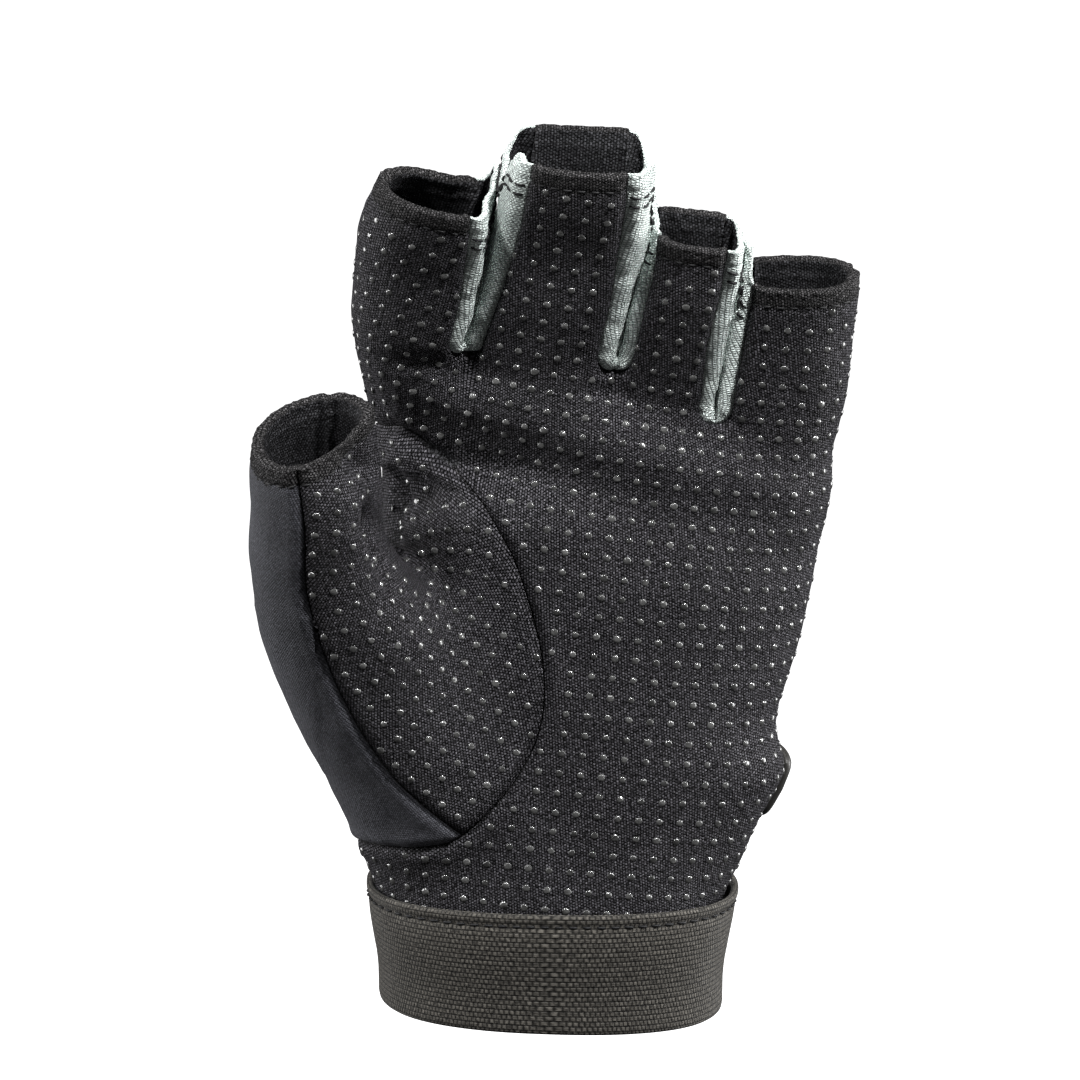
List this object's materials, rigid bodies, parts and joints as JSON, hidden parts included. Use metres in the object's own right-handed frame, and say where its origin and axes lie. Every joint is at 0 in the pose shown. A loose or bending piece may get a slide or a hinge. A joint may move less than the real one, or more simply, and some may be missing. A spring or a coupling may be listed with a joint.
{
  "type": "fingerless neoprene sport glove",
  "caption": "Fingerless left-hand sport glove with a dotted grip palm, knit strips between the fingers, a set-in thumb and an elastic wrist band.",
  "frame": {"origin": "centre of the wrist opening, at the lower edge of the cuff", "axes": "+Z along the hand to the fingertips, palm towards -Y, thumb towards -X"},
  "size_m": [0.1193, 0.0739, 0.1812],
  "materials": {
    "grip_knit": "black warp knit bonded to neoprene, with clear silicone dots",
    "plain_neoprene": "smooth dark blue-grey jersey bonded to neoprene",
    "grey_knit": "pale sage-grey ribbed stretch knit",
    "elastic": "brown-grey woven elastic",
    "tab_rubber": "smooth moulded rubber, satin"
  },
  "bodies": {
    "root": {"palm_panel": "grip_knit", "back_panel": "plain_neoprene", "thumb_front_panel": "grip_knit", "thumb_side_panel": "plain_neoprene", "forchette_index_middle": "grey_knit", "forchette_middle_ring": "grey_knit", "forchette_ring_little": "grey_knit", "wrist_cuff": "elastic", "closure_tab": "tab_rubber"}
  },
  "joints": []
}
